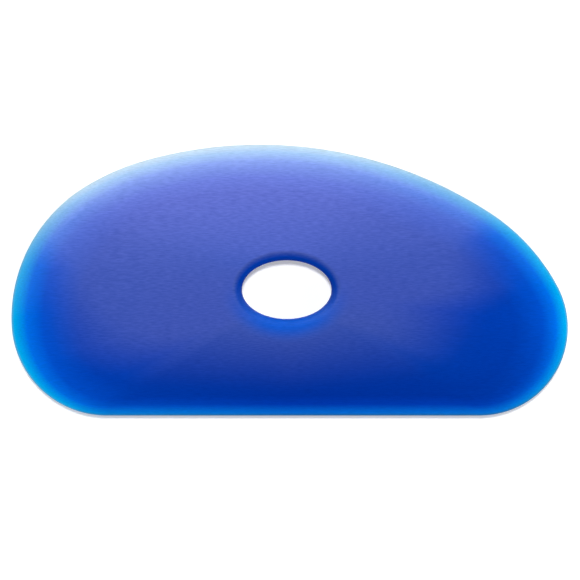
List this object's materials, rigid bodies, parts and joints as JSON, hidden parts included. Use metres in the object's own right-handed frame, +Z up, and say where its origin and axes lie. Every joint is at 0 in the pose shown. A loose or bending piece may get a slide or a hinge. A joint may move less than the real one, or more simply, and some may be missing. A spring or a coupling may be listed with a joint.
{
  "type": "pottery rib",
  "caption": "Flexible kidney-shaped pottery rib for shaping and smoothing clay: thick in the middle, thin all round its rim, with one straight long edge, one crowned edge and an oval finger hole.",
  "frame": {"origin": "on the table, under the middle of the rib's overall box, with the rib lying flat", "axes": "+X along the straight edge, towards the end with the tighter curve; +Y from the straight edge towards the crowned edge; +Z up, square to the faces"},
  "size_m": [0.152, 0.074, 0.006],
  "materials": {
    "rib": "satin"
  },
  "bodies": {
    "root": {"rib": "rib"}
  },
  "joints": []
}
